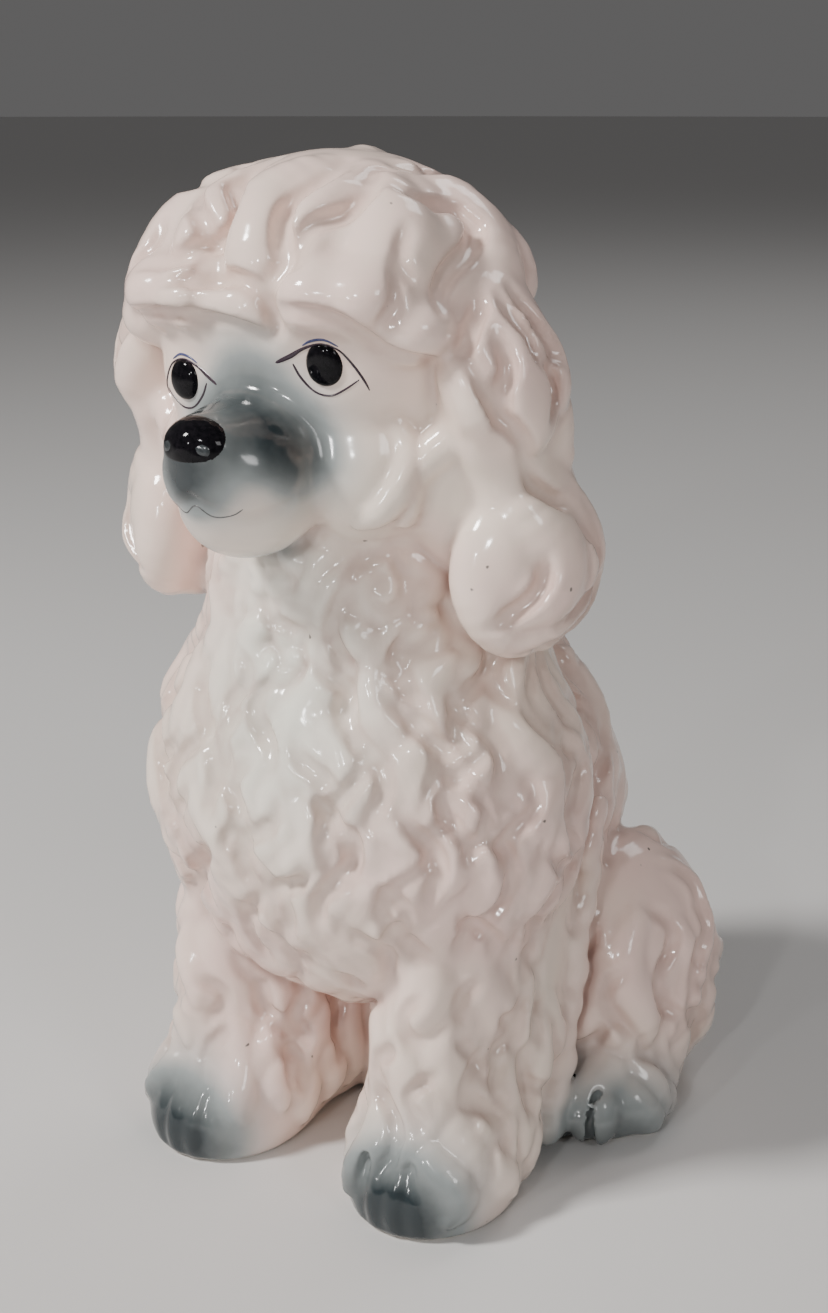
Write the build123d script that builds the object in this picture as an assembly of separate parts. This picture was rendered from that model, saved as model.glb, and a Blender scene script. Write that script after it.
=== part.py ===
from build123d import *
import os
from copy import copy, deepcopy
from dataclasses import dataclass

# Seated poodle figurine in glazed, slip-cast earthenware, in millimetres.
#
# The dog faces -Y, +X is its left side and +Z is up. It stands on z = 0. Nine hollow castings, drained to
# an even wall, are luted together with thin bands of slip: body, head, two ears, two forelegs, two hind legs
# and tail. Each casting is a union of ellipsoids, less the same union drawn in by the wall. Where one casting
# meets another, it is let into the other's wall, trimmed flush with its cavity, and bedded in a band of slip.

HEIGHT = 280.0  # floor to the crown of the topknot
WALL = 3.5  # what the mould leaves once the spare slip is poured off
SLIP = 0.8  # thickness of each luting band
VENT_RADIUS = 4.0  # kiln vent through the floor of the body
SKULL_RISE = 44.0  # half height of the skull with its topknot
STANCE = 36.0  # a forepaw's distance from the middle plane
HAUNCH_OUT = 48.0  # a haunch's distance from the middle plane
EAR_OUT = 52.0  # an ear's distance from the middle plane where it is set on
SMALLEST_SOLID = 1.0  # crumbs of slip under this volume are wiped off
BIG = 4.0 * HEIGHT  # side of a block that cuts away everything under a level

OUT_FOLDER = "parts"


@dataclass
class Ball:
    """An ellipsoid: its centre, its three half lengths and its lean about X, Y and Z in degrees."""

    centre: tuple
    radii: tuple
    lean: tuple = (0, 0, 0)

    def solid(self, grow):
        """The ellipsoid with every half length changed by grow, turned to have its seam at the back."""
        x, y, z = (r + grow for r in self.radii)
        return Pos(*self.centre) * Rot(*self.lean) * Rot(0, 0, 90) * scale(Sphere(1), by=(y, x, z))


FORWARD = (90, 0, 0)  # leans an ellipsoid until what was its height is its depth

CHEST = Ball((0, -41, 110), (65, 52, 62))
SHOULDERS = Ball((0, -42, 156), (48, 38, 45))
BACK = Ball((0, 14, 74), (50, 50, 78), (4, 0, 0))
SEAT = Ball((0, 12, 20), (42, 46, 40))
SKULL = Ball((0, -44, HEIGHT - SKULL_RISE), (52, 44, SKULL_RISE))
FOREHEAD = Ball((0, -58, 244), (48, 31, 32))
FACE = Ball((0, -63, 212), (33, 30, 30), FORWARD)
MUZZLE = Ball((0, -93, 203), (19, 17, 24), (82, 0, 0))
NOSE = Ball((0, -110, 211), (9, 8, 8), FORWARD)
EAR_SET = Ball((EAR_OUT, -54, 219), (14, 23, 32), (0, -6, 0))
EAR_CURL = Ball((EAR_OUT, -42, 181), (17, 22, 29))
FORELEG = Ball((STANCE - 1, -46, 58), (19, 30, 56), (-8, 0, 0))
FOREPAW = Ball((STANCE, -61, 8), (24, 27, 23))
HAUNCH = Ball((HAUNCH_OUT, 27, 39), (29, 38, 45), (4, 0, 0))
HIND_PAW = Ball((HAUNCH_OUT + 6, 4, 8), (18, 21, 15))
POMPON = Ball((0, 71, 40), (17, 18, 21))
NOSE_TIP_Y = NOSE.centre[1] - NOSE.radii[2]
TAIL_END_Y = POMPON.centre[1] + POMPON.radii[1]
CENTRED = Pos(0, -(NOSE_TIP_Y + TAIL_END_Y) / 2, 0)  # puts the origin under the middle of the figurine's box


def above(shape, level):
    """The part of a shape over a level."""
    return shape - Pos(0, 0, level - BIG / 2) * Box(BIG, BIG, BIG)


def form(balls, grow=0.0):
    """The union of some ellipsoids, grown by grow, and cut off flat at the floor or on top of its wall."""
    shape = balls[0].solid(grow)
    for ball in balls[1:]:
        shape += ball.solid(grow)
    return above(shape, max(0.0, -grow))


class Casting:
    """A hollow casting: its outside, cavity and wall, its outside with slip on, and the slip that beds it."""

    def __init__(self, *balls):
        self.outside = form(balls)
        self.cavity = form(balls, -WALL)
        self.bedded = form(balls, SLIP)
        self.wall = self.outside - self.cavity
        self.slip = []

    def let_into(self, *hosts):
        """Lets this casting into its hosts' walls, open to their cavities, with a band of slip in each wall.

        Cutting with a shape loosens its tolerances, so what is cut with again is copied first.
        """
        band = self.bedded - self.outside
        for host in hosts:
            self.slip.append(deepcopy(band) & host.wall)
            host.wall -= deepcopy(self.bedded)
            self.wall -= deepcopy(host.cavity)

    def mirrored(self):
        """The same casting on the other side of the middle plane, before it is let into anything."""
        twin = copy(self)
        for name in ("outside", "cavity", "bedded", "wall"):
            setattr(twin, name, mirror(getattr(self, name), about=Plane.YZ))
        twin.slip = []
        return twin


def vented(wall):
    """The body's wall with the kiln vent drilled through its floor."""
    x, y, _ = SEAT.centre
    return wall - Pos(x, y, WALL / 2) * Cylinder(VENT_RADIUS, 3 * WALL)


def pair(*balls):
    """Two castings, the left one made of some ellipsoids and the right one its mirror image."""
    left = Casting(*balls)
    return {"left": left, "right": left.mirrored()}


def write(name, *shapes):
    """Writes the solids of some shapes as one node, with the origin under the middle of the figurine."""
    solids = [s for shape in shapes for s in shape.solids() if s.volume > SMALLEST_SOLID]
    export_step(Compound(children=[CENTRED * s for s in solids]), f"{OUT_FOLDER}/{name}.step")


def main():
    """Casts the pieces, lets each into its host in the order that they are luted, and writes every node."""
    body = Casting(CHEST, SHOULDERS, BACK, SEAT)
    head = Casting(SKULL, FOREHEAD, FACE, MUZZLE, NOSE)
    tail = Casting(POMPON)
    ears = pair(EAR_SET, EAR_CURL)
    forelegs = pair(FORELEG, FOREPAW)
    hind_legs = pair(HAUNCH, HIND_PAW)

    head.let_into(body)
    tail.let_into(body)
    for ear in ears.values():
        ear.let_into(head, body)
    for leg in (*forelegs.values(), *hind_legs.values()):
        leg.let_into(body)
    body.wall = vented(body.wall)

    castings = {"body": body, "head": head, "tail": tail}
    for name, sides in {"ear": ears, "foreleg": forelegs, "hind_leg": hind_legs}.items():
        castings.update({f"{name}_{side}": casting for side, casting in sides.items()})

    os.makedirs(OUT_FOLDER, exist_ok=True)
    for name, casting in castings.items():
        write(f"{name}_casting", casting.wall)
        if casting.slip:
            write(f"{name}_slip_joint", *casting.slip)


main()
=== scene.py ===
from math import cos, pi, radians, sin, tau

import bpy
import numpy as np
from mathutils import Matrix, Vector


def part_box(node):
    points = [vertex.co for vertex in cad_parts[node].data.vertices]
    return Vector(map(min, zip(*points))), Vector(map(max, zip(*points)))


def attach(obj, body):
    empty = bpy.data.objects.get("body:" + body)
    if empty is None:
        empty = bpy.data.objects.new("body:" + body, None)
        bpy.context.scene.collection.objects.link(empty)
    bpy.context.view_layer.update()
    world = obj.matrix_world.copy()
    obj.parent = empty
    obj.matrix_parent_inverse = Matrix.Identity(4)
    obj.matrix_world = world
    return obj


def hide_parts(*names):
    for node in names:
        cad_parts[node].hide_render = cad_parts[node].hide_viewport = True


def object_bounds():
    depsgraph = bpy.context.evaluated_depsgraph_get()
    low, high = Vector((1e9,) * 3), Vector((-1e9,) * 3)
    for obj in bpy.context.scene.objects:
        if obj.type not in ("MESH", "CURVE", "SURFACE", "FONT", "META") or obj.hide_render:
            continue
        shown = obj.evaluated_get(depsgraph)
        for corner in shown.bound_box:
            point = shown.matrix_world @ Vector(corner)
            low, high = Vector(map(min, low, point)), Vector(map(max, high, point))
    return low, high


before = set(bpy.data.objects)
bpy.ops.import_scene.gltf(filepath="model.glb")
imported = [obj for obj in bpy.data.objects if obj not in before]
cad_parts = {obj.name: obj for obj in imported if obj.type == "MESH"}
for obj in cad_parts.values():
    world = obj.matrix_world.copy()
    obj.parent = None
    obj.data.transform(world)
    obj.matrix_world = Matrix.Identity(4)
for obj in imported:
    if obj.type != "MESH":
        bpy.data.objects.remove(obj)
cad_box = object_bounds()

# A seated poodle, slip-cast in pieces, glazed and painted. The coat is modelled as clay would be, in
# a distance field: each casting starts as a few lumps, locks of hair are laid on it one by one, and
# grooves are drawn in them. The nine castings are surfaced together, so that the glaze runs on over
# the seams, and then parted into hollow shells.
#
# The modelling is in the sculptor's millimetres: z is the height above the table, x is measured from
# the middle plane towards the dog's left, and y towards its tail from a plane through the chest's
# back. NOSE_TIP is the tip of the nose there, which ties it to the CAD model's head.

NOSE_TIP = -118.0
SCULPTED_HEIGHT = 280.0
MM = (cad_box[1][2] - cad_box[0][2]) / SCULPTED_HEIGHT
SHIFT = np.array([0.0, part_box("head_casting")[0][1] / MM - NOSE_TIP, 0.0])

STEP = 1.0  # spacing of the modelling grid
FAR = 50.0  # further than any surface matters
WALL = 3.5  # thickness of the clay
SEAM_FILLET = 2.2  # slip sponged into the seams
FOOT_ROUNDING = 2.5
VENT_RADIUS = 4.0
VENT_Y = 12
INNER_SHARE = 0.08  # share of its faces that the hidden inside of a shell keeps

COAT_ROOM = 9.0  # room for locks round a casting's plain form
BED = -0.2  # how high over the plain form a lock's bed is cleared

# When a line is followed to a surface: the share of the distance that a step takes, and its limits.
STRIDE = 0.7
STEP_BACK = -0.5
STEP_IN = 3.0

SIDES = {"left": 1, "right": -1}  # the dog's own

rng = np.random.default_rng(7)


# ---- distance fields

def turned(lean):
    """The rotation about X, Y and Z, in degrees, that leans a lump."""
    x, y, z = (Matrix.Rotation(radians(a), 3, axis) for a, axis in zip(lean, "XYZ"))
    return np.array(z @ y @ x)


def unit(v):
    return v / (np.linalg.norm(v, axis=-1, keepdims=True) + 1e-9)


def smooth_min(a, b, blend):
    """The smaller of two distances, rounded over where they are closer than blend."""
    h = np.maximum(blend - np.abs(a - b), 0.0) / blend
    return np.minimum(a, b) - h * h * (blend / 4)


class Lump:
    """An ellipsoid of clay: its centre, its half lengths and its lean."""

    def __init__(self, centre, radii, lean=(0, 0, 0)):
        self.centre = np.array(centre, float)
        self.radii = np.array(radii, float)
        self.turn = turned(lean)

    def mirrored(self):
        twin = Lump(self.centre * (-1, 1, 1), self.radii)
        flip = np.diag([-1.0, 1.0, 1.0])
        twin.turn = flip @ self.turn @ flip
        return twin

    def reach(self):
        half = np.sqrt((self.turn ** 2) @ (self.radii ** 2))
        return self.centre - half, self.centre + half

    def distance(self, x, y, z):
        x, y, z = x - self.centre[0], y - self.centre[1], z - self.centre[2]
        local = [self.turn[0, i] * x + self.turn[1, i] * y + self.turn[2, i] * z for i in range(3)]
        once = sum((q / r) ** 2 for q, r in zip(local, self.radii))
        twice = sum((q / r ** 2) ** 2 for q, r in zip(local, self.radii))
        once = np.sqrt(once)
        return once * (once - 1.0) / np.sqrt(twice + 1e-9)


class Strand:
    """A lock of clay: a tube of changing radius along a path."""

    def __init__(self, path, radii):
        self.path = np.asarray(path, float)
        self.radii = np.asarray(radii, float)

    def reach(self):
        widest = self.radii.max()
        return self.path.min(0) - widest, self.path.max(0) + widest

    def distance(self, x, y, z):
        nearest = None
        ends = zip(self.path[:-1], self.path[1:], self.radii[:-1], self.radii[1:])
        for start, end, r_start, r_end in ends:
            run = end - start
            dx, dy, dz = x - start[0], y - start[1], z - start[2]
            along = (dx * run[0] + dy * run[1] + dz * run[2]) / (run @ run + 1e-9)
            along = np.clip(along, 0.0, 1.0)
            gap = (dx - along * run[0]) ** 2 + (dy - along * run[1]) ** 2 + (dz - along * run[2]) ** 2
            gap = np.sqrt(gap) - (r_start + along * (r_end - r_start))
            nearest = gap if nearest is None else np.minimum(nearest, gap)
        return nearest


def trilinear(field, first, points):
    """A grid's values at some points in sculptor's millimetres."""
    q = points / STEP - first
    q = np.clip(q, 0.0, np.array(field.shape) - 1.001)
    i = q.astype(int)
    f = q - i
    total = 0.0
    for corner in range(8):
        step = np.array([corner & 1, corner >> 1 & 1, corner >> 2])
        weight = np.prod(np.where(step, f, 1.0 - f), axis=1)
        j = i + step
        total = total + weight * field[j[:, 0], j[:, 1], j[:, 2]]
    return total


class Clay:
    """A casting being modelled: its plain form, and its surface with the coat on.

    The surface is a field on the casting's own block of the grid.
    """

    def __init__(self, lumps, blend=10.0):
        self.lumps = lumps
        self.blend = blend
        low = np.min([lump.reach()[0] for lump in lumps], axis=0) - COAT_ROOM
        high = np.max([lump.reach()[1] for lump in lumps], axis=0) + COAT_ROOM
        self.first = np.floor(low / STEP).astype(int)
        shape = np.ceil(high / STEP).astype(int) - self.first + 1
        self.field = np.full(shape, FAR, np.float32)
        for lump in lumps:
            self.add(lump, blend, COAT_ROOM)
        self.base = self.field.copy()

    def window(self, low, high):
        start = np.maximum(np.floor(low / STEP).astype(int) - self.first, 0)
        stop = np.minimum(np.ceil(high / STEP).astype(int) - self.first + 1, self.field.shape)
        stop = np.maximum(stop, start)
        place = tuple(slice(a, b) for a, b in zip(start, stop))
        spans = zip(start, stop, self.first)
        axes = [(np.arange(a, b) + o).astype(np.float32) * STEP for a, b, o in spans]
        return place, np.meshgrid(*axes, indexing="ij", sparse=True)

    def add(self, shape, blend=1.0, margin=4.0):
        low, high = shape.reach()
        place, grid = self.window(low - margin, high + margin)
        self.field[place] = smooth_min(self.field[place], shape.distance(*grid), blend)

    def cut(self, shape, blend=1.0, margin=3.0):
        low, high = shape.reach()
        place, grid = self.window(low - margin, high + margin)
        self.field[place] = -smooth_min(-self.field[place], shape.distance(*grid), blend)

    def overlay(self, strand, blend, moat):
        """Lays a strand over what is there, in a bed cleared for it, so that a groove runs round it."""
        low, high = strand.reach()
        place, grid = self.window(low - 4, high + 4)
        gap = strand.distance(*grid)
        clearing = np.maximum(gap - moat, BED - self.base[place])
        here = -smooth_min(-self.field[place], clearing, 0.8)
        self.field[place] = smooth_min(here, gap, blend)

    def plain(self, p):
        """The distance from the casting's plain form, for any array of points."""
        total = None
        for lump in self.lumps:
            d = lump.distance(p[..., 0], p[..., 1], p[..., 2])
            total = d if total is None else smooth_min(total, d, self.blend)
        return total

    def slope(self, p, reach=0.5):
        """The outward direction of the plain form at some points."""
        out = np.empty_like(p)
        for axis in range(3):
            step = np.zeros(3)
            step[axis] = reach
            out[..., axis] = self.plain(p + step) - self.plain(p - step)
        return unit(out)

    def settle(self, p, height=0.0):
        """The points moved to a height above the plain form."""
        for _ in range(4):
            p = p - self.slope(p) * (self.plain(p) - height)[..., None]
        return p

    def cast(self, origin, directions, reach=130.0):
        """Where rays from outside, aimed at origin against some directions, meet the plain form."""
        directions = directions / np.linalg.norm(directions, axis=-1, keepdims=True)
        p = origin + directions * reach
        for _ in range(40):
            p = p - directions * (np.maximum(self.plain(p), -1.0) * 0.8)[..., None]
        return self.settle(p)

    def cast_on_coat(self, origin, directions):
        """Where the same rays meet the surface with the locks on it."""
        return self.drop(self.cast(origin, directions) + directions * 8.0, directions)

    def drop(self, p, outward):
        """The points moved against outward until they meet the surface with the locks on it."""
        for _ in range(30):
            gap = trilinear(self.field, self.first, p)
            p = p - outward * (np.clip(gap, STEP_BACK, STEP_IN) * STRIDE)[..., None]
        return p


# ---- laying locks

POINTS_PER_LOCK = 13
PRESS = 1.3  # how much deeper than asked a tool is pressed, since glaze fills a groove
ALONG = np.linspace(0.0, 1.0, POINTS_PER_LOCK)


def lock_profile(width, height, blunt=0.35):
    """A lock's radius and sunk depth along its length: a root under its neighbours, then a full tip."""
    swell = np.interp(ALONG, [0.0, 0.25, 0.6, 0.82, 1.0], [0.55, 0.85, 1.0, 0.86, blunt])
    radius = width * 0.56 * swell
    rise = np.interp(ALONG, [0.0, 0.15, 0.45, 0.8, 1.0], [-0.3, 0.35, 0.8, 1.0, 0.55]) * height
    return radius, radius - rise


def in_surface(heading, normal):
    """A heading laid down into the surface."""
    return unit(heading - normal * np.sum(heading * normal, axis=1, keepdims=True))


def walk(clay, start, heading, length, curve, swing=0.0, phase=0.0):
    """Paths over the plain form: each sets out on a heading, turns by curve in all, and swings.

    start and heading hold one row for each lock. length is in millimetres, and curve, swing and phase
    are in degrees.
    """
    count = len(start)
    length = np.broadcast_to(length, count)
    curve = np.radians(np.broadcast_to(curve, count))
    swing = np.radians(np.broadcast_to(swing, count))
    phase = np.radians(np.broadcast_to(phase, count))
    p = clay.settle(start)
    normal = clay.slope(p)
    heading = in_surface(heading, normal)
    path = [p]
    before = 0.0
    for t in ALONG[1:]:
        turn = curve * t * t + swing * np.sin(tau * 0.9 * t + phase)
        delta = (turn - before)[:, None]
        before = turn
        side = np.cross(normal, heading)
        heading = heading * np.cos(delta) + side * np.sin(delta)
        p = clay.settle(p + heading * (length / (POINTS_PER_LOCK - 1))[:, None])
        normal = clay.slope(p)
        heading = in_surface(heading, normal)
        path.append(p)
    return np.stack(path, axis=1)


def lay(clay, paths, width, height, blend=0.9, blunt=0.35, moat=1.0):
    """Lays a lock of clay along each path, the later ones over the earlier ones."""
    width = np.broadcast_to(width, len(paths))
    height = np.broadcast_to(height, len(paths))
    for path, w, h in zip(paths, width, height):
        radius, depth = lock_profile(w, h, blunt)
        sunk = path - clay.slope(path) * depth[:, None]
        clay.overlay(Strand(sunk, radius), blend, moat)


def spread(count):
    """Directions spread evenly over a sphere."""
    i = np.arange(count) + 0.5
    z = 1.0 - 2.0 * i / count
    around = i * pi * (3.0 - 5.0 ** 0.5)
    flat = np.sqrt(1.0 - z * z)
    return np.stack([flat * np.cos(around), flat * np.sin(around), z], axis=1)


def sown(clay, centre, count, keep):
    """Places spread over the part of a casting's plain form that keep accepts."""
    start = clay.cast(centre, spread(count))
    return start[keep(start)]


def comb(clay, centre, count, keep, heading, length, width, height,
         swing=30.0, curve=0.0, blend=0.9, blunt=0.35, moat=1.0):
    """Covers the part that keep accepts with locks that follow a heading, from the lowest row up."""
    start = sown(clay, centre, count, keep)
    start = start[np.argsort(start[:, 2])]
    count = len(start)
    hand = np.where(rng.random(count) < 0.5, -1.0, 1.0)
    length = length * rng.uniform(0.8, 1.25, count)
    curve = curve * hand + 15.0 * rng.normal(size=count)
    swing = swing * hand * rng.uniform(0.7, 1.2, count)
    paths = walk(clay, start, heading(start), length, curve, swing, rng.uniform(-40, 40, count))
    width = width * rng.uniform(0.85, 1.2, count)
    height = height * rng.uniform(0.8, 1.2, count)
    lay(clay, paths, width, height, blend, blunt, moat)


def down(p):
    return np.broadcast_to(np.array([0.0, 0.0, -1.0]), p.shape)


def globe(places):
    """Directions from azimuth and elevation in degrees. Azimuth 0 is ahead, 90 is the dog's left."""
    az, el = np.radians(np.array(places, float)).T
    return np.stack([np.sin(az) * np.cos(el), -np.cos(az) * np.cos(el), np.sin(el)], axis=1)


def draw_lock(clay, centre, places, width, height, blend=1.6, blunt=0.5, moat=0.8):
    """Lays one lock through a few places, given as azimuth and elevation about a centre."""
    path = clay.cast(centre, globe(curve_through(places)))
    lay(clay, path[None], width, height, blend, blunt, moat)


def groove(clay, path, outward, width, depth, blend, fade, lightest):
    """Draws along a path on the coat with a rounded tool, lighter at its ends."""
    press = PRESS * depth * np.clip(np.minimum(ALONG, 1 - ALONG) * fade, lightest, 1)
    track = path + outward * (width / 2 - press)[:, None]
    clay.cut(Strand(track, np.full(len(path), width / 2)), blend)


def carve(clay, centre, places, width=5.0, depth=2.0, blend=1.4):
    """Draws a groove through a few places, given as azimuth and elevation about a centre."""
    outward = globe(curve_through(places))
    path = clay.cast_on_coat(centre, outward)
    groove(clay, path, outward, width, depth, blend, 5, 0.15)


def rake(clay, centre, count, keep, heading, length, width, depth,
         swing=50.0, curve=30.0, blend=1.4):
    """Draws a wavy groove from each of many places, to break the locks up into strands."""
    start = sown(clay, centre, count, keep)
    count = len(start)
    hand = np.where(rng.random(count) < 0.5, -1.0, 1.0)
    length = length * rng.uniform(0.7, 1.3, count)
    swing = swing * hand * rng.uniform(0.7, 1.2, count)
    phase = rng.uniform(-60, 60, count)
    for path in walk(clay, start, heading(start), length, curve * hand, swing, phase):
        outward = clay.slope(path)
        groove(clay, clay.drop(path + outward * 9.0, outward), outward, width, depth, blend, 4, 0.1)


def score(clay, places, lift, radii, blend):
    """Cuts a line through a few places, at a height over the plain form, from one radius to another."""
    path = clay.settle(curve_through(places), lift)
    clay.cut(Strand(path, np.linspace(*radii, len(path))), blend)


def whorl(clay, centre, place, size=9.0):
    """A small curl wound round on itself: a dome of clay with a spiral drawn in it."""
    spot = clay.cast_on_coat(centre, globe([place]))[0]
    out = globe([place])[0]
    clay.add(Lump(spot - out * 2.0, (size * 0.62, size * 0.62, size * 0.62)), 2.0)
    turn = np.linspace(0.0, 1.6 * tau, POINTS_PER_LOCK)
    winding = [(place[0] + size * t / tau * cos(t), place[1] + size * t / tau * sin(t)) for t in turn]
    path = clay.cast_on_coat(centre, globe(winding))
    clay.cut(Strand(path + out * 0.6, np.full(len(path), 1.5)), 0.8)


def curve_at(points, t):
    """The point a share t of the way along a Catmull-Rom curve through some points."""
    padded = np.vstack([2 * points[0] - points[1], points, 2 * points[-1] - points[-2]])
    t = t * (len(points) - 1)
    i = min(int(t), len(points) - 2)
    f = t - i
    a, b, c, d = padded[i:i + 4]
    square = 2 * a - 5 * b + 4 * c - d
    cube = 3 * b - a - 3 * c + d
    return 0.5 * (2 * b + (c - a) * f + square * f ** 2 + cube * f ** 3)


def curve_through(points, shares=ALONG):
    points = np.array(points, float)
    return np.array([curve_at(points, t) for t in shares])


# ---- the castings

SKULL_CENTRE = (0, -55, 234)
STANCE = 35
HAUNCH_OUT = 47


def model_head():
    head = Clay([
        Lump((0, -48, 236), (49, 41, 42)),  # skull
        Lump((0, -61, 247), (46, 30, 28)),  # topknot over the forehead
        Lump((22, -73, 243), (20, 15, 11)),  # brows
        Lump((-22, -73, 243), (20, 15, 11)),
        Lump((0, -64, 221), (29, 23, 25)),  # face
        Lump((19, -64, 204), (19, 21, 20)),  # cheeks
        Lump((-19, -64, 204), (19, 21, 20)),
        Lump((0, -90, 205), (18.5, 17, 22.5), (86, 0, 0)),  # muzzle
        Lump((0, -90, 193), (14, 15, 10)),  # chin
        Lump((20, -75, 229), (13, 9, 12)),  # eye sockets
        Lump((-22, -75, 224), (13, 9, 12)),
        Lump((38, -50, 206), (16, 20, 30)),  # hair between the cheeks and the ears
        Lump((-38, -50, 206), (16, 20, 30)),
    ], blend=6.0)
    head.add(Lump((0, -106, 213), (9.5, 8.5, 7)), 4.0)  # nose

    def behind(p):
        az = np.degrees(np.arctan2(p[:, 0], -(p[:, 1] - SKULL_CENTRE[1])))
        return (np.abs(az) > 100) & (p[:, 2] > 192)

    def sweep(p):
        away = p - np.array([0.0, -56.0, 0.0])
        away[:, 2] = -26.0
        return away

    comb(head, SKULL_CENTRE, 80, behind, sweep, 42, 15, 4.2,
         swing=46, curve=20.0, blend=1.5, blunt=0.5, moat=0.8)
    topknot = [
        ([(112, 70), (112, 52), (108, 40), (104, 30), (98, 18), (90, 6)], 21, 4.2),
        ([(80, 74), (66, 56), (62, 42), (58, 30), (50, 19), (54, 9)], 24, 4.4),
        ([(50, 70), (38, 56), (28, 46), (25, 35), (22, 25)], 15, 3.4),
    ]
    for places, width, height in topknot:
        draw_lock(head, SKULL_CENTRE, places, width, height)
        draw_lock(head, SKULL_CENTRE, [(-az - 6, el - 2) for az, el in places], width, height)
    draw_lock(head, SKULL_CENTRE, [(30, 84), (8, 68), (-2, 54), (3, 42), (5, 31), (10, 20)], 20, 4.4)
    tufts = ((33, 19, 11.5), (47, 17, 11.0), (62, 6, 10.0),
             (-28, 17, 11.0), (-44, 15, 11.0), (-62, 5, 10.0))
    for az, el, size in tufts:
        spot = head.cast(SKULL_CENTRE, globe([(az, el)]))[0]
        out = globe([(az, el)])[0]
        head.add(Lump(spot - out * (size - 6.5), (size, size, size * 0.82)), 2.5)
    # The roll of hair over the right eye.
    draw_lock(head, SKULL_CENTRE, [(-44, 10), (-28, 14), (-14, 15), (-2, 14), (8, 10)], 13, 4.2)

    for side in SIDES.values():
        about = np.array([side, 1.0])
        for places, width, depth in (
            ([(58, 74), (25, 54), (17, 45), (18, 34), (20, 28), (13, 19)], 5.5, 2.6),
            ([(62, 56), (47, 45), (32, 40), (26, 34), (24, 27)], 5.0, 2.2),
            ([(64, 51), (75, 44), (91, 42), (94, 33), (85, 27), (74, 22), (69, 17), (67, 12)],
             5.5, 2.8),
            ([(91, 64), (124, 51), (122, 38), (121, 28), (120, 18)], 5.5, 2.6),
            ([(91, 18), (107, 6), (117, -3)], 5.0, 2.2),
            ([(60, 34), (56, 25), (60, 17)], 4.0, 1.4),
            ([(80, 60), (66, 62), (52, 52)], 4.0, 1.4),
        ):
            shift = 0 if side > 0 else 6
            carve(head, SKULL_CENTRE, np.array(places) * about + (shift, 0), width, depth)
    carve(head, SKULL_CENTRE, [(19, 12), (29, 11), (38, 9), (46, 4), (54, -1), (66, -4)], 5.0, 2.0)
    carve(head, SKULL_CENTRE, [(-25, 63), (-32, 56), (-14, 49), (-11, 40), (-21, 35), (-26, 27),
                               (-41, 21)], 5.0, 2.4)
    carve(head, SKULL_CENTRE, [(-48, 4), (-34, 7), (-20, 8), (-8, 8), (4, 6), (11, 2)], 5.0, 2.2)
    carve(head, SKULL_CENTRE, [(-30, 17), (-18, 21), (-6, 23), (5, 22), (14, 17)], 4.5, 2.0)
    carve(head, SKULL_CENTRE, [(12, 19), (15, 12), (15, 5)], 4.5, 1.8)
    carve(head, SKULL_CENTRE, [(54, 24), (53, 14), (48, 6)], 4.0, 1.6)

    def nape(p):
        return (p[:, 2] > 205) & (p[:, 1] > -46)

    rake(head, SKULL_CENTRE, 110, nape, sweep, 28, 4.0, 1.3)

    # Whiskers and curls hanging between the cheek and the ear.
    for side in SIDES.values():
        for places, width, height in (
            ([(106, -4), (100, -18), (94, -30), (88, -46)], 13, 4.4),
            ([(92, 4), (92, -12), (84, -26), (88, -40)], 12, 4.4),
            ([(72, -6), (77, -17), (71, -28), (62, -38), (64, -48)], 10, 4.2),
            ([(58, -22), (63, -32), (56, -43), (46, -50)], 8, 3.4),
            ([(84, 18), (88, 8), (84, -2), (77, -6)], 8, 4.2),
            ([(74, 8), (76, -4), (80, -14), (92, -20)], 8, 4.0),
        ):
            places = np.array(places) * (side, 1)
            draw_lock(head, SKULL_CENTRE, places, width, height, blend=1.2, moat=1.0)

    # Eye sockets under the brows, nostrils and the line of the mouth.
    for side in SIDES.values():
        head.cut(Lump((20 * side, -93, 228 if side > 0 else 225), (10, 6, 8), (0, 0, 8 * side)), 5.0)
        head.cut(Lump((5.0 * side, -115.5, 213.5), (2.4, 3.0, 2.2)), 1.2)
        mouth = [(0, -112, 200), (5 * side, -111, 197.5), (10 * side, -106, 196), (16 * side, -95, 199)]
        score(head, mouth, 0.7, (1.8, 1.0), 2.0)
    return head


LOBE_CENTRE = (51, -54, 221)
CURL_CENTRE = (52, -45, 181)


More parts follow.
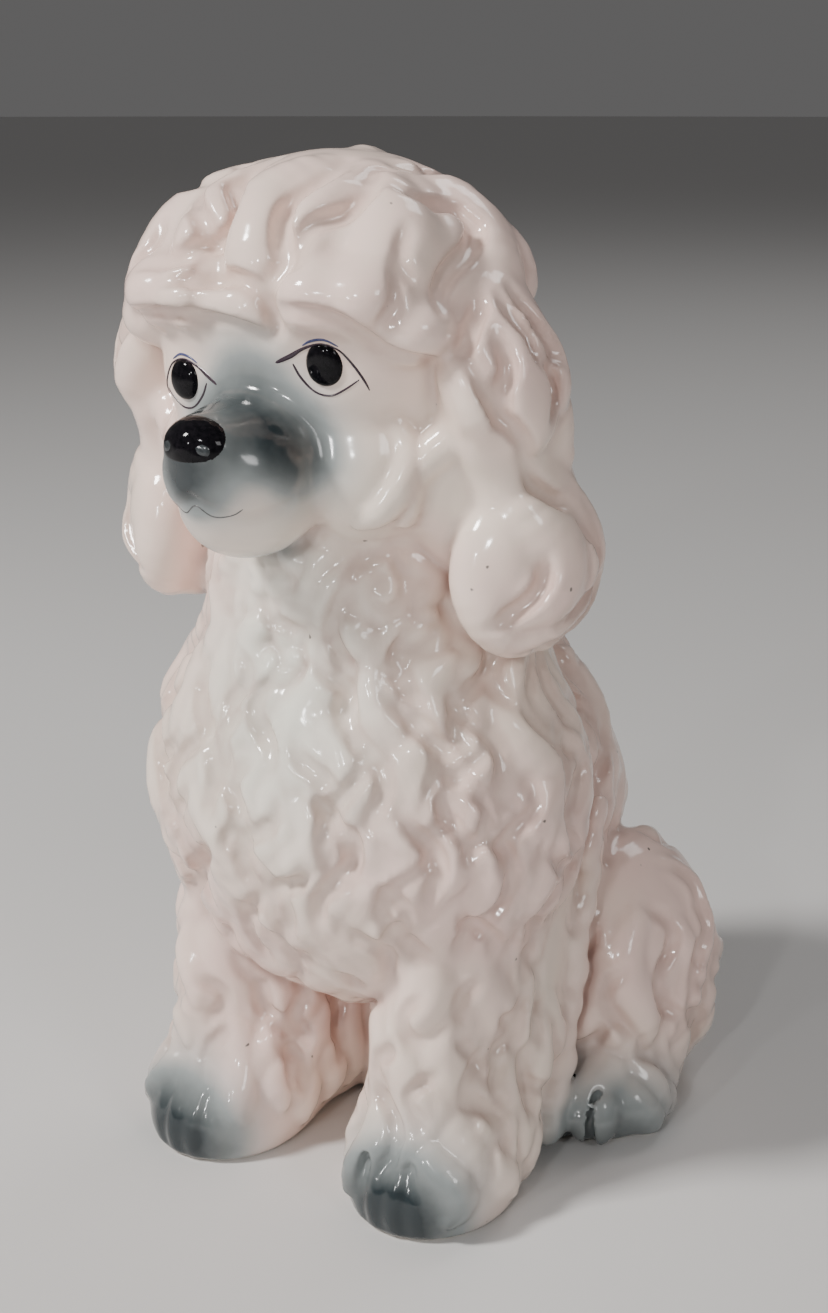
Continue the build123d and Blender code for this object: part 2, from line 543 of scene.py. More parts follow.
def model_ear(side):
    ear = Clay([
        Lump((49, -54, 224), (12, 19, 27), (0, -6, 0)),
        Lump((52, -47, 201), (10, 15, 16)),
        Lump((52, -46, 181), (15, 23, 25)),
    ], blend=5.0)
    ear.base = ear.base - 0.5
    lobe = [
        ([(150, 70), (140, 40), (136, 10), (140, -20), (146, -40)], 17, 4.0),
        ([(20, 78), (8, 56), (2, 30), (10, 6), (16, -18)], 16, 3.6),
        ([(110, 80), (112, 62), (120, 42), (118, 18), (104, -6)], 17, 4.6),
        ([(60, 82), (50, 64), (46, 42), (52, 14), (62, -14), (70, -30)], 24, 5.0),
    ]
    curl = [
        ([(150, 30), (150, 0), (145, -30), (120, -58)], 14, 4.0),
        ([(-10, 40), (-14, 10), (-8, -20), (10, -46), (40, -64)], 16, 3.4),
        ([(70, 64), (110, 50), (128, 20), (134, -14), (118, -44), (70, -66)], 13, 4.2),
        ([(40, 62), (80, 50), (102, 24), (108, -6), (90, -30), (56, -44), (24, -50)], 13, 4.6),
        ([(10, 52), (40, 40), (62, 18), (64, -6), (50, -20), (30, -28)], 19, 5.2),
    ]
    for places, width, height in lobe:
        draw_lock(ear, LOBE_CENTRE, places, width, height)
    for places, width, height in curl:
        draw_lock(ear, CURL_CENTRE, places, width, height)
    for places in (
        [(-6, 68), (-3, 50), (-3, 30)],
        [(20, 75), (42, 67), (61, 59), (64, 50), (79, 36)],
        [(60, 84), (90, 76), (102, 65), (112, 48), (115, 32)],
        [(24, 50), (31, 32), (26, 12), (32, -8)],
        [(90, 40), (95, 22), (90, 4), (82, -14)],
    ):
        carve(ear, LOBE_CENTRE, places, 4.5, 2.9)
    for places in (
        [(81, 46), (108, 21), (116, -8), (96, -30), (60, -38)],
        [(43, 9), (41, -7), (28, -21), (10, -30)],
        [(129, -11), (124, -36), (100, -54), (50, -62)],
        [(0, 60), (28, 56), (59, 52), (86, 48)],
    ):
        carve(ear, CURL_CENTRE, places, 4.5, 2.8)
    return mirrored(ear) if side < 0 else ear


def mirrored(clay):
    """The same casting on the other side of the middle plane."""
    twin = Clay.__new__(Clay)
    twin.lumps = [lump.mirrored() for lump in clay.lumps]
    twin.blend = clay.blend
    twin.field = clay.field[::-1].copy()
    twin.first = clay.first.copy()
    twin.first[0] = -(clay.first[0] + clay.field.shape[0] - 1)
    return twin


RUMP_CENTRE = (0, 6, 60)
MANE_CENTRE = (0, -34, 122)
THROAT_CENTRE = (0, -40, 160)


def model_body():
    body = Clay([
        Lump((0, -40, 110), (61, 48, 60)),  # chest
        Lump((0, -42, 156), (44, 34, 44)),  # shoulders
        Lump((0, -50, 180), (33, 29, 28)),  # throat
        Lump((0, 12, 78), (46, 46, 73), (4, 0, 0)),  # back
        Lump((0, 12, 20), (40, 44, 40)),  # seat
    ], blend=12.0)

    def mane(p):
        lowest = np.where(p[:, 1] < -20, 74, 84 - 0.3 * p[:, 1])
        return (p[:, 2] > lowest) & (p[:, 2] < np.where(p[:, 1] < -60, 190, 200))

    def throat(p):
        return (p[:, 1] < -58) & (p[:, 2] > 158) & (p[:, 2] < 200)

    def rump(p):
        return (p[:, 2] < 84) & (p[:, 2] > 22) & (p[:, 1] > 4)

    comb(body, RUMP_CENTRE, 110, rump, down, 42, 13, 3.6, swing=40, blend=1.4, moat=0.8)

    comb(body, MANE_CENTRE, 260, mane, down, 46, 16.0, 4.2,
         swing=50, curve=35.0, blend=2.0, blunt=0.3, moat=0.7)
    comb(body, MANE_CENTRE, 95, mane, down, 44, 11.0, 4.6,
         swing=60, curve=45.0, blend=2.0, blunt=0.2, moat=0.5)
    rake(body, MANE_CENTRE, 190, mane, down, 34, 4.5, 1.7)
    # The fringe where the mane ends: pointed tufts all round the chest.
    around = np.radians(np.arange(-118, 119, 13))
    across, ahead, level = np.sin(around), np.cos(around), np.zeros_like(around)
    ring = np.stack([59 * across, -40 - 47 * ahead, 84 - 4 * ahead], axis=1)
    drift = np.stack([0.5 * across - 0.35, level, -np.ones_like(around)], axis=1)
    paths = walk(body, ring, drift, 32.0, rng.uniform(-40, 10, len(ring)), 30.0)
    lay(body, paths, 14.0, 5.0, blend=2.0, blunt=0.12, moat=0.5)

    comb(body, THROAT_CENTRE, 330, throat, down, 15, 7.0, 1.8, swing=70, blend=1.0, blunt=0.4, moat=0.6)
    whorl(body, (0, -42, 156), (42, 24))
    return body


def model_foreleg(side):
    leg = Clay([
        Lump((STANCE - 1, -45, 58), (18, 29, 54), (-8, 0, 0)),
        Lump((STANCE - 2, -48, 24), (17, 24, 24)),
        Lump((STANCE - 13, -26, 38), (15, 34, 42)),
        Lump((STANCE + 10, -30, 50), (9, 19, 52), (-17, 0, 0)),
        Lump((STANCE, -60, 8), (23, 26, 20)),
    ], blend=10.0)

    def fur(p):
        return (p[:, 2] > 34) & (p[:, 2] < 98)

    comb(leg, (STANCE, -46, 50), 60, fur, down, 38, 13, 3.8,
         swing=50, curve=30.0, blend=1.8, blunt=0.3, moat=0.7)
    rake(leg, (STANCE, -46, 50), 60, fur, down, 26, 4.0, 1.4)

    # The feathering down the back of the leg, and toes parted by shallow grooves.
    for height in np.arange(10.0, 98.0, 8.5):
        edge = np.interp(height, [4, 45, 90], [-24, -15, 2]) + 1.5 * sin(height)
        taper = np.interp(height, [45, 98], [1.0, 0.6])
        size = (4.5 * taper, 6.5 * taper, 6.5)
        leg.add(Lump((STANCE + 13 + 4 * taper, edge - 2, height), size, (-35, 0, 0)), 2.0)
    for x in (-9, -1, 7):
        toe = [(STANCE + x, -84, 22), (STANCE + x, -88, 12), (STANCE + 0.9 * x, -86, 3)]
        score(leg, toe, 1.0, (1.8, 1.8), 1.6)
    return mirrored(leg) if side < 0 else leg


def model_hind_leg(side):
    leg = Clay([
        Lump((HAUNCH_OUT, 27, 38), (26, 35, 42), (4, 0, 0)),
        Lump((HAUNCH_OUT + 7, 3, 8), (19, 22, 13)),
    ], blend=9.0)

    def fur(p):
        return (p[:, 2] > 22) & (p[:, 0] > HAUNCH_OUT - 24)

    def fan(p):
        return p - np.array([HAUNCH_OUT, 14.0, 120.0])

    comb(leg, (HAUNCH_OUT, 27, 42), 85, fur, fan, 46, 13, 4.0, swing=38, blend=1.8, blunt=0.3, moat=0.8)
    rake(leg, (HAUNCH_OUT, 27, 42), 60, fur, fan, 30, 4.0, 1.4)
    for x in (HAUNCH_OUT + 1, HAUNCH_OUT + 7, HAUNCH_OUT + 13):
        score(leg, [(x, -12, 14), (x, -15, 8), (x, -14, 2)], 1.1, (1.5, 1.5), 1.2)
    return mirrored(leg) if side < 0 else leg


def model_tail():
    tail = Clay([Lump((0, 70, 40), (15, 15, 18))])
    comb(tail, (0, 70, 40), 40, lambda p: p[:, 1] > 56, down, 24, 12, 3.4,
         swing=50, curve=40.0, blend=1.0, blunt=0.5)
    return tail


# ---- surfacing

def flowed(field, rounds=1):
    """The field a little smoothed, as glaze runs over small edges."""
    for axis in range(3):
        for _ in range(rounds):
            ahead = np.roll(field, -1, axis)
            behind = np.roll(field, 1, axis)
            field = 0.5 * field + 0.25 * (ahead + behind)
    return field


def gathered(castings):
    """All the castings as one field, with slip in the seams, a flat foot and the kiln vent."""
    low = np.min([c.first for c in castings], axis=0)
    high = np.max([c.first + c.field.shape for c in castings], axis=0)
    low[2] = -4
    field = np.full(high - low, FAR, np.float32)
    for c in castings:
        start = c.first - low
        skip = max(0, -start[2])
        place = tuple(slice(max(a, 0), a + n) for a, n in zip(start, c.field.shape))
        field[place] = smooth_min(field[place], c.field[:, :, skip:], SEAM_FILLET)
    field = flowed(field)
    axes = [((np.arange(n) + o) * STEP).astype(np.float32) for n, o in zip(field.shape, low)]
    x, y, z = np.meshgrid(*axes, indexing="ij", sparse=True)
    field = -smooth_min(-field, np.broadcast_to(z, field.shape), FOOT_ROUNDING)
    vent = np.maximum(np.hypot(x, y - VENT_Y) - VENT_RADIUS, z - 2 * WALL)
    return np.maximum(field, -vent), low


def surface_net(field, first):
    """The surface where a field is zero: points in sculptor's millimetres and outward quads."""
    inside = field < 0
    shape = np.array(field.shape)
    stride = np.array([shape[1] * shape[2], shape[2], 1])
    crossings = []
    for axis in range(3):
        a = [slice(None)] * 3
        b = [slice(None)] * 3
        a[axis], b[axis] = slice(0, -1), slice(1, None)
        a, b = tuple(a), tuple(b)
        where = np.argwhere(inside[a] != inside[b])
        ahead = where.copy()
        ahead[:, axis] += 1
        f0, f1 = field[tuple(where.T)], field[tuple(ahead.T)]
        point = where.astype(float)
        point[:, axis] += f0 / (f0 - f1)
        u, v = (axis + 1) % 3, (axis + 2) % 3
        corners = []
        for du, dv in ((-1, -1), (0, -1), (0, 0), (-1, 0)):
            cell = where.copy()
            cell[:, u] += du
            cell[:, v] += dv
            corners.append(cell @ stride)
        quad = np.stack(corners, axis=1)
        leaving = f0 < 0
        quad[~leaving] = quad[~leaving][:, ::-1]
        crossings.append((quad, point))
    quads = np.concatenate([q for q, _ in crossings])
    points = np.concatenate([p for _, p in crossings])
    _, index = np.unique(quads, return_inverse=True)
    index = index.reshape(quads.shape)
    shares = np.bincount(index.ravel())
    sums = [np.bincount(index.ravel(), weights=np.repeat(points[:, i], 4)) for i in range(3)]
    spots = (np.stack(sums, axis=1) / shares[:, None] + first) * STEP
    return spots, index


def gradient(field, first, points, reach):
    out = np.empty_like(points)
    for axis in range(3):
        step = np.zeros(3)
        step[axis] = reach
        out[:, axis] = trilinear(field, first, points + step) - trilinear(field, first, points - step)
    return out / (2 * reach)


def owner_of(castings, points):
    """Which casting each point of the surface belongs to."""
    reach = []
    for c in castings:
        q = points / STEP - c.first
        held = np.all((q >= 0) & (q <= np.array(c.field.shape) - 1), axis=1)
        reach.append(np.where(held, trilinear(c.field, c.first, points), FAR))
    return np.argmin(reach, axis=0)


class Skin:
    """The glazed surface of the whole dog, as a field."""

    def __init__(self, castings):
        self.field, self.first = gathered(castings)

    def depth(self, p):
        return trilinear(self.field, self.first, p)

    def normal(self, p, reach=0.8):
        return unit(gradient(self.field, self.first, p, reach))

    def settle(self, p, height=0.0, reach=0.8, rounds=3):
        for _ in range(rounds):
            p = p - self.normal(p, reach) * (self.depth(p) - height)[:, None]
        return p

    def touch(self, p, outward):
        """Where lines through some points, followed inwards from outside, meet the surface."""
        p = p + outward * 16.0
        for _ in range(70):
            p = p - outward * np.clip(self.depth(p) * STRIDE, STEP_BACK, STEP_IN)[:, None]
        return p


# ---- pieces

def add_object(name, points, faces, masks=None):
    mesh = bpy.data.meshes.new(name)
    mesh.from_pydata(((points + SHIFT) * MM).tolist(), [], faces.tolist())
    for key, values in (masks or {}).items():
        mesh.attributes.new(key, "FLOAT", "POINT").data.foreach_set("value", values.astype(np.float32))
    mesh.shade_smooth()
    piece = bpy.data.objects.new(name, mesh)
    bpy.context.scene.collection.objects.link(piece)
    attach(piece, "root")
    return piece


def open_edges(faces):
    """The edges of a set of quads that only one of them has, as they run round that quad."""
    runs = np.concatenate([faces[:, [i, (i + 1) % 4]] for i in range(4)])
    size = runs.max() + 1
    key = runs.min(axis=1) * size + runs.max(axis=1)
    _, back, count = np.unique(key, return_inverse=True, return_counts=True)
    return runs[count[back.ravel()] == 1]


BROAD = 5.0  # reach of a slope that is felt over the locks
SLIP_THICKNESS = 0.8
SLIP_TOP = 0.9  # how far the slip stays under the glaze
SLIP_FOOT = 0.2  # and how far it stays short of the inside
EVENING_ROUNDS = 12
FILM_EDGE = 0.15  # how far the edge of a film of paint is sunk


def hollow_shell(name, skin, points, normals, faces, masks):
    """A casting's share of the surface, as a closed shell of clay with its rim at the seams."""
    used, faces = np.unique(faces, return_inverse=True)
    faces = faces.reshape(-1, 4)
    count = len(used)
    outside = points[used]
    inside = outside - skin.normal(outside, BROAD) * WALL
    inside = skin.settle(inside, -WALL, reach=BROAD, rounds=2)
    rim = open_edges(faces)
    walls = np.stack([rim[:, 1], rim[:, 0], rim[:, 0] + count, rim[:, 1] + count], axis=1)
    every_face = np.concatenate([faces, faces[:, ::-1] + count, walls])
    own = {key: np.tile(values[used], 2) for key, values in masks.items()}
    piece = add_object(name, np.concatenate([outside, inside]), every_face, own)

    fixed = np.unique(rim) + count
    loose = np.setdiff1d(np.arange(count, 2 * count), fixed)
    piece.vertex_groups.new(name="inside").add(loose.tolist(), 1.0, "REPLACE")
    thin = piece.modifiers.new("thin", "DECIMATE")
    thin.vertex_group = "inside"
    thin.ratio = (len(faces) * (1 + INNER_SHARE) + len(walls)) / len(every_face)
    keep = piece.data.attributes.new("outward", "FLOAT_VECTOR", "POINT")
    kept = np.concatenate([normals[used], np.zeros((count, 3))])
    keep.data.foreach_set("vector", kept.ravel().astype(np.float32))
    evaluated = piece.evaluated_get(bpy.context.evaluated_depsgraph_get())
    mesh = bpy.data.meshes.new_from_object(evaluated)
    piece.modifiers.clear()
    piece.vertex_groups.clear()
    piece.data = mesh
    outward = np.empty(len(mesh.vertices) * 3, np.float32)
    mesh.attributes["outward"].data.foreach_get("vector", outward)
    mesh.attributes.remove(mesh.attributes["outward"])
    mesh.normals_split_custom_set_from_vertices(outward.reshape(-1, 3).tolist())
    return piece


def slip_band(name, skin, points, faces, material):
    """The slip that joins a casting to its neighbours: a band in the seam, between their walls."""
    rim = open_edges(faces)
    used, rim = np.unique(rim, return_inverse=True)
    rim = rim.reshape(-1, 2)
    line = points[used]
    degree = np.bincount(rim.ravel(), minlength=len(used))[:, None]
    for _ in range(EVENING_ROUNDS):
        total = np.zeros_like(line)
        np.add.at(total, rim[:, 0], line[rim[:, 1]])
        np.add.at(total, rim[:, 1], line[rim[:, 0]])
        line = total / degree
    line = skin.settle(line)
    out = skin.normal(line, 4.0)
    count = len(line)
    band = np.concatenate([line - out * SLIP_TOP, line - out * (WALL - SLIP_FOOT)])
    quads = np.stack([rim[:, 0], rim[:, 1], rim[:, 1] + count, rim[:, 0] + count], axis=1)
    piece = add_object(name, band, quads)
    body = piece.modifiers.new("slip", "SOLIDIFY")
    body.thickness = SLIP_THICKNESS * MM
    body.offset = 0.0
    piece.data.materials.append(material)
    return piece


def slab(name, skin, spots, lift, sunk, material):
    """A thin closed film of paint over a grid of places on the surface, raised by lift."""
    rows, cols = lift.shape
    flat = spots.reshape(-1, 3)
    out = skin.normal(flat, 1.2)
    top = flat + out * lift.reshape(-1, 1)
    bottom = flat - out * sunk
    at = np.arange(rows * cols).reshape(rows, cols)
    upper = np.stack([at[:-1, :-1], at[1:, :-1], at[1:, 1:], at[:-1, 1:]], axis=-1).reshape(-1, 4)
    loop = np.concatenate([at[0, :-1], at[:-1, -1], at[-1, :0:-1], at[:0:-1, 0]])
    ahead = np.roll(loop, -1)
    count = rows * cols
    side = np.stack([loop, ahead, ahead + count, loop + count], axis=1)
    faces = np.concatenate([upper, upper[:, ::-1] + count, side])
    piece = add_object(name, np.concatenate([top, bottom]), faces)
    piece.data.materials.append(material)
    return piece


class Easel:
    """A flat drawing that is carried straight back on to the dog: x to the dog's left, y up."""

    def __init__(self, skin, centre, azimuth, elevation=0.0, mirror=1):
        self.skin = skin
        self.centre = np.array(centre, float)
        self.out = globe([(azimuth, elevation)])[0]
        right = unit(np.cross(self.out, [0, 0, -1.0]))
        self.up = np.cross(self.out, right)
        self.right = right * mirror

    def place(self, xy):
        flat = xy.reshape(-1, 2)
        p = self.centre + flat[:, :1] * self.right + flat[:, 1:] * self.up
        return self.skin.touch(p, self.out).reshape(xy.shape[:-1] + (3,))

    def disc(self, name, centre, half, material, lift=0.35, sunk=0.6, size=17):
        """An oval of paint, crowned in the middle."""
        u, v = np.meshgrid(np.linspace(-1, 1, size), np.linspace(-1, 1, size), indexing="ij")
        x, y = u * np.sqrt(1 - v * v / 2), v * np.sqrt(1 - u * u / 2)
        spots = self.place(np.stack([centre[0] + half[0] * x, centre[1] + half[1] * y], axis=-1))
        crown = np.clip(1 - x * x - y * y, 0, 1)
        height = (lift + FILM_EDGE) * crown ** 0.5 - FILM_EDGE
        return slab(name, self.skin, spots, height, sunk, material)

    def stroke(self, name, places, widths, material, lift=0.22, sunk=0.5):
        """A brush stroke through a few places, with its width at each."""
        places = np.array(places, float)
        run = np.linspace(0, 1, 8 * len(places))
        line = curve_through(np.column_stack([places, widths]), run)
        ahead = unit(np.gradient(line[:, :2], axis=0))
        beside = np.stack([-ahead[:, 1], ahead[:, 0]], axis=1)
        across = np.linspace(-1, 1, 7)
        half = np.maximum(line[:, 2], 0.05)[:, None] / 2 * across
        spots = self.place(line[:, None, :2] + beside[:, None, :] * half[..., None])
        crown = np.sqrt(np.clip(1 - across ** 2, 0, 1))
        ends = np.clip(np.minimum(run, 1 - run) * 12, 0, 1)
        height = (lift + FILM_EDGE) * crown[None, :] * ends[:, None] - FILM_EDGE
        return slab(name, self.skin, spots, height, sunk, material)


# ---- where the paint goes

def puff(points, centre, radii):
    """How much of an airbrush's puff of colour lands on each point."""
    away = (points - np.array(centre, float)) / np.array(radii, float)
    return np.exp(-1.2 * np.sum(away * away, axis=1) ** 1.2)


def sprayed(clear, points, strength, centre, radii):
    """What is left clear of grey after one more puff: a pass of the airbrush, and under the chin
    painted shade.
    """
    return clear * (1.0 - strength * puff(points, centre, radii))


def airbrush_and_chin_shade(points):
    """The share of grey at each point: airbrushed on the muzzle and toes, painted shade under the chin.
    """
    clear = sprayed(np.ones(len(points)), points, 0.80, (0, -97, 220), (17, 19, 14))
    clear = sprayed(clear, points, 0.35, (0, -84, 231), (12, 14, 12))
    for side in SIDES.values():
        clear = sprayed(clear, points, 0.75, (14 * side, -96, 213), (14, 17, 14))
        clear = sprayed(clear, points, 0.50, (18 * side, -93, 208), (12, 15, 12))
    for side in SIDES.values():
        clear = 1.0 - (1.0 - clear) * (1.0 - 0.7 * puff(points, (12 * side, -107, 199), (8, 10, 8)))
    clear = sprayed(clear, points, 0.96, (-1, -112, 207), (14, 13, 14))
    # Painted shade: a flat puff of grey under the chin, where its shadow falls.
    clear = sprayed(clear, points, 0.80, (0, -88, 184), (13, 11, 5))
    for side in SIDES.values():
        clear = sprayed(clear, points, 0.97, ((STANCE + 3) * side, -86, 6), (29, 22, 25))
        clear = sprayed(clear, points, 0.95, ((HAUNCH_OUT + 8) * side, -6, 5), (28, 29, 18))
    return 1.0 - clear


# ---- materials

GLAZE_PINK = (0.90, 0.67, 0.60)
GLAZE_CREAM = (0.90, 0.76, 0.65)
GLAZE_COOL = (0.86, 0.845, 0.745)
# Glaze pooled thick in the grooves, made darker still there as painted shade.
GLAZE_POOLED_AND_SHADE = (0.46, 0.31, 0.27)
GLAZE_IOR = 1.52
# The airbrushed grey, also used for the painted shade under the chin.
SPRAY_AND_SHADE_HAZE = (0.42, 0.455, 0.45)
SPRAY_AND_SHADE_GREY = (0.024, 0.033, 0.037)
SPECK = (0.2, 0.17, 0.15)
BISQUE = (0.72, 0.66, 0.58)
SLIP_PALE = (0.80, 0.75, 0.70)
SLIP_DARK = (0.70, 0.64, 0.58)

# Enamels: each as it is where the brush left more of it, and where it left less.
INK = ((0.003, 0.003, 0.004), (0.008, 0.007, 0.009))
PLUM = ((0.030, 0.018, 0.028), (0.055, 0.035, 0.05))
# A thin dark line of painted shade along the groove of the mouth.
MOUTH_SHADE_GREY = ((0.07, 0.07, 0.072), (0.12, 0.12, 0.12))
DUSK = ((0.025, 0.030, 0.032), (0.05, 0.056, 0.06))
BLUE = ((0.05, 0.06, 0.16), (0.10, 0.11, 0.22))


class Recipe:
    """A material being mixed, with short ways to add nodes to it."""

    def __init__(self, name):
        self.material = bpy.data.materials.new(name)
        self.material.use_nodes = True
        self.nodes = self.material.node_tree.nodes
        self.links = self.material.node_tree.links
        self.shader = self.nodes["Principled BSDF"]
        self.place = None

    def feed(self, socket, value):
        """Sets a socket to a colour or a number, or links a node's output to it."""
        if isinstance(value, tuple):
            socket.default_value = (*value, 1.0)
        elif isinstance(value, float):
            socket.default_value = value
        else:
            self.links.new(value, socket)

    def give(self, name, value):
        self.feed(self.shader.inputs[name], value)

    def node(self, kind, values, **settings):
        """Adds a node, and sets it and its sockets."""
        made = self.nodes.new("ShaderNode" + kind)
        for key, value in settings.items():
            setattr(made, key, value)
        for socket, value in values.items():
            self.feed(made.inputs[socket], value)
        return made

    def noise(self, scale, detail=3.0):
        """Noise in the object's own coordinates."""
        self.place = self.place or self.node("TexCoord", {}).outputs["Object"]
        values = {"Vector": self.place, "Scale": scale, "Detail": detail}
        return self.node("TexNoise", values).outputs["Fac"]

    def ramp(self, value, low, high, start=0.0, end=1.0):
        values = {"Value": value, "From Min": low, "From Max": high, "To Min": start, "To Max": end}
        return self.node("MapRange", values, clamp=True).outputs["Result"]

    def mix(self, share, first, second):
        return self.node("Mix", {0: share, 6: first, 7: second}, data_type="RGBA").outputs[2]

    def combine(self, how, a, b):
        return self.node("Math", {0: a, 1: b}, operation=how).outputs[0]

    def attribute(self, name):
        return self.node("Attribute", {}, attribute_name=name).outputs["Fac"]


def white_glaze():
    """Glossy white glaze, thick in the grooves and darker there with painted shade, sprayed with grey,
    with painted shade under the chin in the same grey, wiped off the foot.
    """
    glaze = Recipe("white_glaze")
    colour = glaze.mix(glaze.ramp(glaze.noise(16.0), 0.4, 0.65), GLAZE_PINK, GLAZE_CREAM)
    colour = glaze.mix(glaze.attribute("cool"), colour, GLAZE_COOL)
    # Darker in the grooves: thicker glaze there, and painted shade.
    pooled_and_shade = glaze.combine("MULTIPLY", glaze.ramp(glaze.attribute("groove"), 0.10, 0.85), 0.88)
    colour = glaze.mix(pooled_and_shade, colour, GLAZE_POOLED_AND_SHADE)
    mottle = glaze.ramp(glaze.noise(90.0), 0.3, 0.75, 0.92, 1.05)
    # The grey: airbrushed on the muzzle and toes, and painted shade under the chin.
    spray_and_shade = glaze.combine("MULTIPLY", glaze.attribute("grey"), mottle)
    colour = glaze.mix(glaze.ramp(spray_and_shade, 0.02, 0.5), colour, SPRAY_AND_SHADE_HAZE)
    colour = glaze.mix(glaze.ramp(spray_and_shade, 0.3, 0.88), colour, SPRAY_AND_SHADE_GREY)
    colour = glaze.mix(glaze.ramp(glaze.noise(260.0, 1.0), 0.80, 0.83), colour, SPECK)
    bare = glaze.attribute("bare")
    glaze.give("Base Color", glaze.mix(bare, colour, BISQUE))
    gloss = glaze.ramp(glaze.noise(55.0), 0.3, 0.7, 0.10, 0.17)
    matt = glaze.combine("MULTIPLY", bare, 0.85)
    glaze.give("Roughness", glaze.combine("MAXIMUM", gloss, matt))
    glaze.give("IOR", GLAZE_IOR)
    ripple = {"Strength": 0.06, "Distance": 0.0006, "Height": glaze.noise(170.0)}
    glaze.give("Normal", glaze.node("Bump", ripple).outputs["Normal"])
    return glaze.material


def enamel(name, shades, roughness=0.08, sheen=0.5):
    """On-glaze enamel, a shade uneven where the brush left more or less of it."""
    paint = Recipe(name)
    streak = paint.ramp(paint.noise(900.0, 2.0), 0.35, 0.7)
    paint.give("Base Color", paint.mix(streak, *shades))
    worn = paint.ramp(paint.noise(300.0), 0.3, 0.7, roughness, roughness * 1.6)
    paint.give("Roughness", worn)
    paint.give("Specular IOR Level", sheen)
    return paint.material


def dried_slip():
    """The fired slip inside a seam."""
    slip = Recipe("fired_slip")
    grain = slip.ramp(slip.noise(500.0), 0.3, 0.7)
    slip.give("Base Color", slip.mix(grain, SLIP_PALE, SLIP_DARK))
    slip.give("Roughness", 0.7)
    return slip.material


# ---- painting the face

# Each eye's side, the middle of its iris, and the way it looks.
EYES = {"left": (1, (19.8, -84, 230.5), 14), "right": (-1, (-23, -85, 223.5), -4)}
UPPER_LID = [(-13.5, -0.6), (-8.6, 1.6), (-4.8, 3.7), (0, 5.0), (4.2, 3.7), (7.4, 0.2), (9.6, -3.4),
             (10.8, -6.5)]
LID_TINT = [(-5.4, 4.2), (-2.6, 5.6), (1, 6.1), (4.6, 4.4)]
LOWER_LID = [(-8.4, 0.6), (-6.2, -3.4), (-2.6, -6.6), (1.4, -7.2), (5.2, -5.4), (9.2, -2.6)]
MOUTH = [(-12, 1.5), (-8, -1.0), (-4, -1.4), (0, 1.0), (4, -1.4), (8, -1.0), (12, 1.5)]


def paint_face(skin):
    black = enamel("black_enamel", INK, 0.05, sheen=0.15)
    liner = enamel("plum_enamel", PLUM, 0.15)
    mouth_shade = enamel("mouth_shade_enamel", MOUTH_SHADE_GREY, 0.12)
    dusk = enamel("nostril_enamel", DUSK, 0.12)
    blue = enamel("blue_enamel", BLUE, 0.15)
    for word, (side, centre, azimuth) in EYES.items():
        eye = Easel(skin, centre, azimuth, mirror=side)
        eye.disc(f"eye_{word}_iris", (0, 0), (4.8, 5.2), black, lift=2.1)
        eye.stroke(f"eye_{word}_upper_lid", UPPER_LID, [0.8, 1.4, 0.9, 0.6, 0.6, 0.8, 0.7, 0.3], liner)
        eye.stroke(f"eye_{word}_lid_tint", LID_TINT, [0.3, 0.8, 0.8, 0.3], blue)
        eye.stroke(f"eye_{word}_lower_lid", LOWER_LID, [0.6, 0.8, 0.6, 0.6, 0.6, 0.4], liner)
    front = Easel(skin, (0, -108, 213.5), 0, 30)
    front.disc("nose_cap", (0, -0.1), (9.7, 6.4), black, lift=0.35)
    for word, side in SIDES.items():
        front.disc(f"nostril_{word}", (5.0 * side, -2.6), (2.1, 1.5), dusk, lift=0.45, size=9)
    # Painted shade: a thin dark line along the carved mouth.
    lips = Easel(skin, (0, -110, 198), 0, 0)
    lips.stroke("mouth_shade_line", MOUTH, [0.2, 0.4, 0.45, 0.45, 0.45, 0.4, 0.2], mouth_shade, lift=0.1)


# ---- putting it together

def model_dog():
    """Every casting by the name its pieces take, which the CAD nodes they stand for share."""
    castings = {"body": model_body(), "head": model_head()}
    for part, model in (("ear", model_ear), ("foreleg", model_foreleg), ("hind_leg", model_hind_leg)):
        for word, side in SIDES.items():
            castings[f"{part}_{word}"] = model(side)
    castings["tail"] = model_tail()
    return castings


POCKET = 2.2  # how far out a groove is felt for
FOOT_HEIGHT = 1.4  # the glaze is wiped off below this


def build_dog():
    castings = model_dog()
    skin = Skin(list(castings.values()))
    points, faces = surface_net(skin.field, skin.first)
    points = skin.settle(points, reach=0.6, rounds=2)
    normals = skin.normal(points)
    pocket = 1.0 - skin.depth(points + normals * POCKET) / POCKET
    masks = {
        # groove: how hollow each point is; it darkens the glaze there as thicker glaze and painted
        # shade.
        "groove": np.clip(pocket, 0, 1),
        # grey: the airbrushed grey, with painted shade under the chin.
        "grey": airbrush_and_chin_shade(points),
        "cool": puff(points, (4, -88, 150), (34, 30, 52)),
        "bare": np.clip(FOOT_HEIGHT - points[:, 2], 0, 1) * (normals[:, 2] < -0.5),
    }
    owner = owner_of(list(castings.values()), points[faces].mean(axis=1))
    glaze, slip = white_glaze(), dried_slip()
    for index, name in enumerate(castings):
        share = faces[owner == index]
        piece = hollow_shell(f"{name}_shell", skin, points, normals, share, masks)
        piece.data.materials.append(glaze)
        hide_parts(f"{name}_casting")
        if name != "body":
            band = slip_band(f"{name}_slip", skin, points, share, slip)
            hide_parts(f"{name}_slip_joint")
    return skin


# ---- stage, light and camera

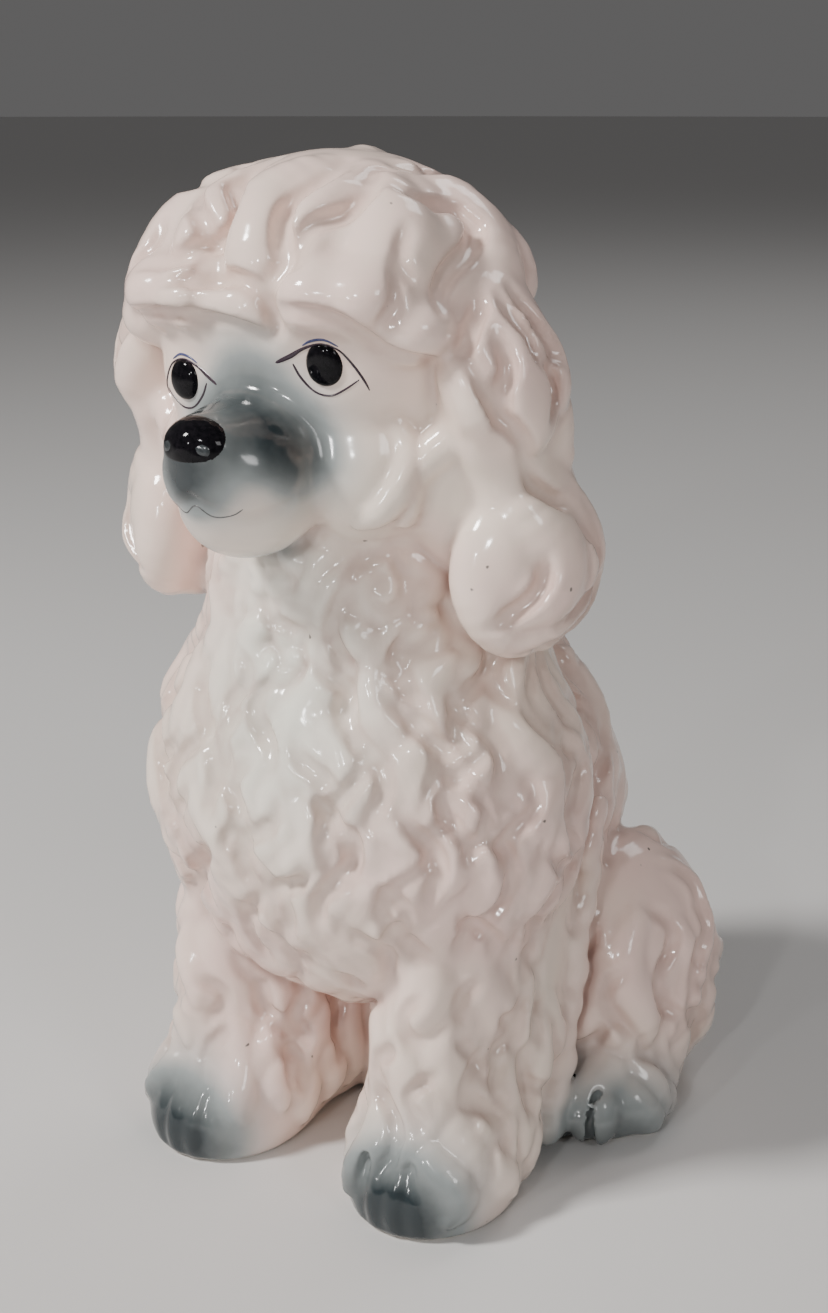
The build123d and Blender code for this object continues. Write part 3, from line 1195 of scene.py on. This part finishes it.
FLOOR_RADIUS = 20.0
FLOOR_SIDES = 96
FLOOR_COLOUR = (0.66, 0.65, 0.64)
FLOOR_ROUGHNESS = 0.6
MIDDLE = (0, 0, 0.14)  # what the lights are aimed at
WHITE = (1, 1, 1)
WARM_WHITE = (1.0, 0.975, 0.95)
LIGHTS = (  # name, place, width and height, power and colour
    ("key", (-0.62, -0.90, 1.15), 0.24, 25, WARM_WHITE),
    ("fill", (1.4, -0.6, 0.9), 0.4, 5.0, WHITE),
    ("sparkle_high", (0.25, -1.0, 0.55), 0.05, 2.0, WHITE),
    ("sparkle_low", (-0.05, -1.1, 0.40), 0.05, 1.3, WHITE),
    ("back", (0.2, 1.7, 2.4), 1.0, 14, WHITE),
)
WORLD_COLOUR = (0.60, 0.59, 0.59, 1)
WORLD_STRENGTH = 0.20
CAMERA_PLACE = (0.273, -0.422, 0.2923)
CAMERA_DOWN = 17.1  # degrees below the level
CAMERA_TURN = 33  # degrees to the dog's left of straight ahead of it
CAMERA_LENS = 50.72
CAMERA_SENSOR = 36.0


def add_stage():
    around = np.linspace(0, tau, FLOOR_SIDES, endpoint=False)
    rim = [(FLOOR_RADIUS * cos(a), FLOOR_RADIUS * sin(a), 0) for a in around]
    mesh = bpy.data.meshes.new("floor")
    mesh.from_pydata(rim, [], [tuple(range(len(rim)))])
    floor = bpy.data.objects.new("floor", mesh)
    bpy.context.scene.collection.objects.link(floor)
    pale = Recipe("pale_floor")
    pale.give("Base Color", FLOOR_COLOUR)
    pale.give("Roughness", FLOOR_ROUGHNESS)
    floor.data.materials.append(pale.material)


def add_light(name, place, size, power, colour):
    data = bpy.data.lights.new(name, "AREA")
    data.shape = "RECTANGLE"
    data.size = data.size_y = size
    data.energy = power
    data.color = colour
    lamp = bpy.data.objects.new(name, data)
    lamp.location = place
    lamp.rotation_euler = (Vector(MIDDLE) - Vector(place)).to_track_quat("-Z", "Y").to_euler()
    bpy.context.scene.collection.objects.link(lamp)


def light_studio():
    for light in LIGHTS:
        add_light(*light)
    world = bpy.data.worlds.new("studio")
    world.use_nodes = True
    background = world.node_tree.nodes["Background"]
    background.inputs["Color"].default_value = WORLD_COLOUR
    background.inputs["Strength"].default_value = WORLD_STRENGTH
    bpy.context.scene.world = world


def add_camera():
    data = bpy.data.cameras.new("camera")
    data.sensor_width = CAMERA_SENSOR
    data.lens = CAMERA_LENS
    camera = bpy.data.objects.new("camera", data)
    camera.location = CAMERA_PLACE
    camera.rotation_euler = (radians(90 - CAMERA_DOWN), 0, radians(CAMERA_TURN))
    bpy.context.scene.collection.objects.link(camera)
    bpy.context.scene.camera = camera


paint_face(build_dog())
add_stage()
light_studio()
add_camera()
